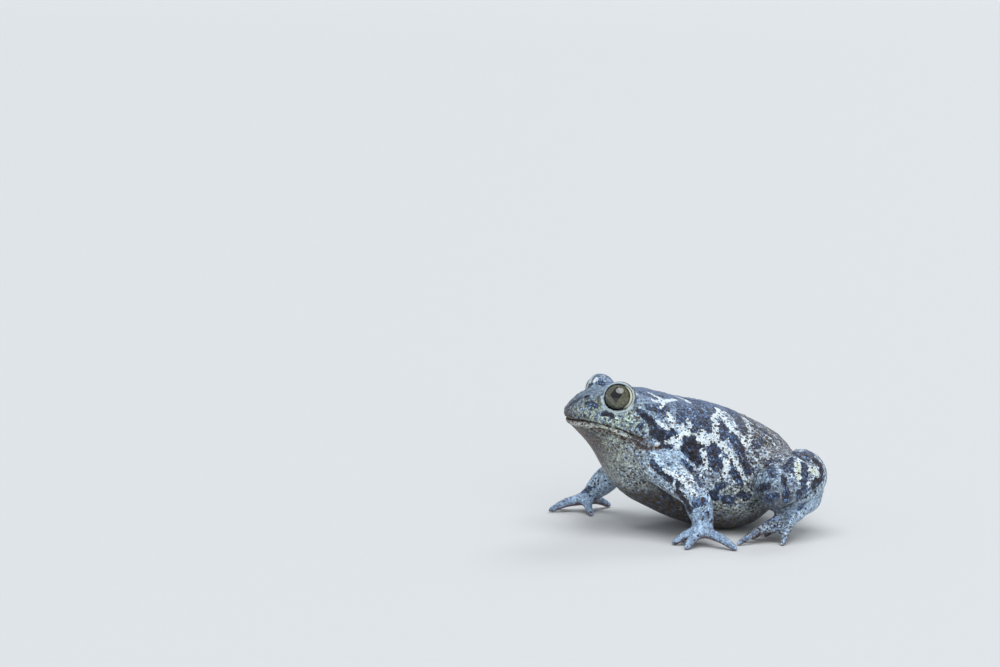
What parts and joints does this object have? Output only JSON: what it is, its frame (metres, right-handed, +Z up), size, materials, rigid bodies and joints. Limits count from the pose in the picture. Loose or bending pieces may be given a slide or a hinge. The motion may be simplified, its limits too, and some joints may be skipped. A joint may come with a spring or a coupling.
{
  "type": "syrian spadefoot toad model",
  "caption": "Life-size model of a Syrian spadefoot toad sitting with its head raised, blotched skin, large eyes and webbed hind feet.",
  "frame": {"origin": "centre of the bounding box on the floor plane, under the belly", "axes": "+Z up from the floor, the toad faces -Y and its left side is +X"},
  "size_m": [0.075, 0.0672, 0.041],
  "materials": {
    "skin": "painted resin, moist satin, pale ground with slate-blue blotches",
    "eye": "polished glass eye, olive-gold iris with an upright pupil",
    "spade": "pale horn"
  },
  "bodies": {
    "root": {"head": "skin", "torso": "skin", "upper_arm_left": "skin", "upper_arm_right": "skin", "forearm_left": "skin", "forearm_right": "skin", "hand_left": "skin", "hand_right": "skin", "thigh_left": "skin", "thigh_right": "skin", "shank_left": "skin", "shank_right": "skin", "foot_left": "skin", "foot_right": "skin", "eye_left": "eye", "eye_right": "eye", "spade_left": "spade", "spade_right": "spade"}
  },
  "joints": []
}
